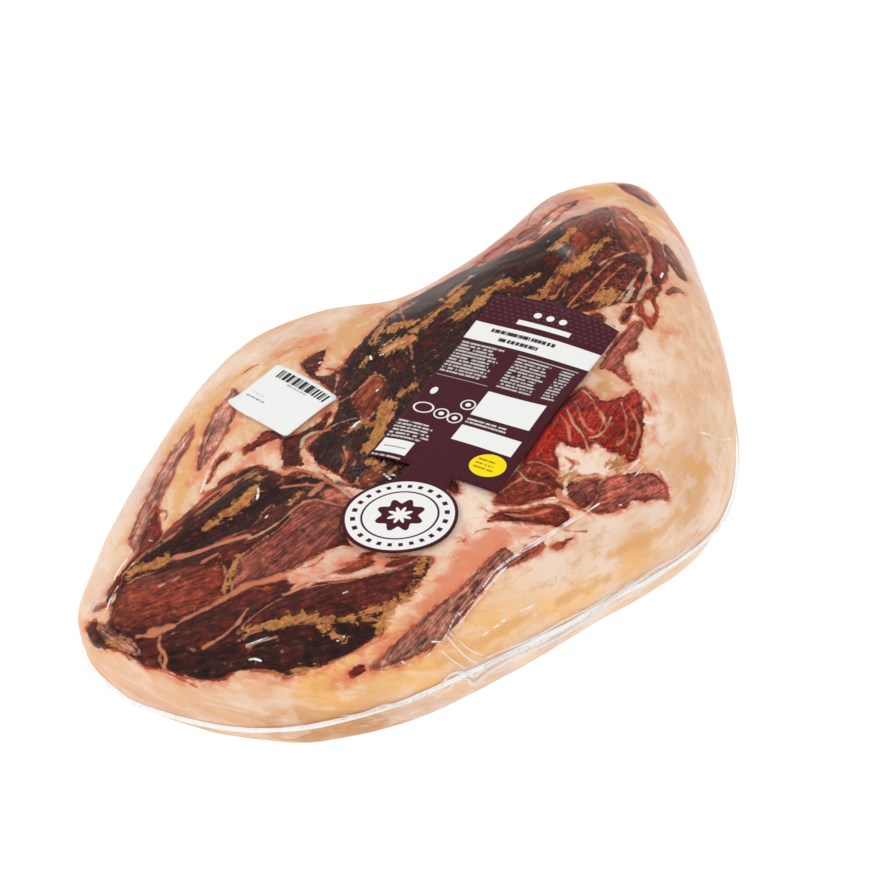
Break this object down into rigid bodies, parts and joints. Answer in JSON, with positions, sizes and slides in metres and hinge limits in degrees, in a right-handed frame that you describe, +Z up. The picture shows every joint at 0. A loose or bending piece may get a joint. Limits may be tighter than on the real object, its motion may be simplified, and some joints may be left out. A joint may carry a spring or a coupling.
{
  "type": "boneless cured ham",
  "caption": "Boneless cured ham lying on its skin side, sealed in a clear shrink bag, with a die-cut label card and a weight sticker on its boned face.",
  "frame": {"origin": "under the middle of the ham's box, on the surface that it lies on", "axes": "+X from the shank end to the rump end, +Z up out of the boned face, +Y towards the side with the hollow behind the rump flap"},
  "size_m": [0.4196, 0.245, 0.0985],
  "materials": {
    "packed_ham": "dark red and brown meat with cream fat under clear glossy shrink film",
    "printed_card": "satin coated card printed in aubergine, white and a little yellow",
    "white_sticker": "smooth white thermal paper"
  },
  "bodies": {
    "root": {"vacuum_packed_ham": "packed_ham", "die_cut_card": "printed_card", "weight_sticker": "white_sticker"}
  },
  "joints": []
}
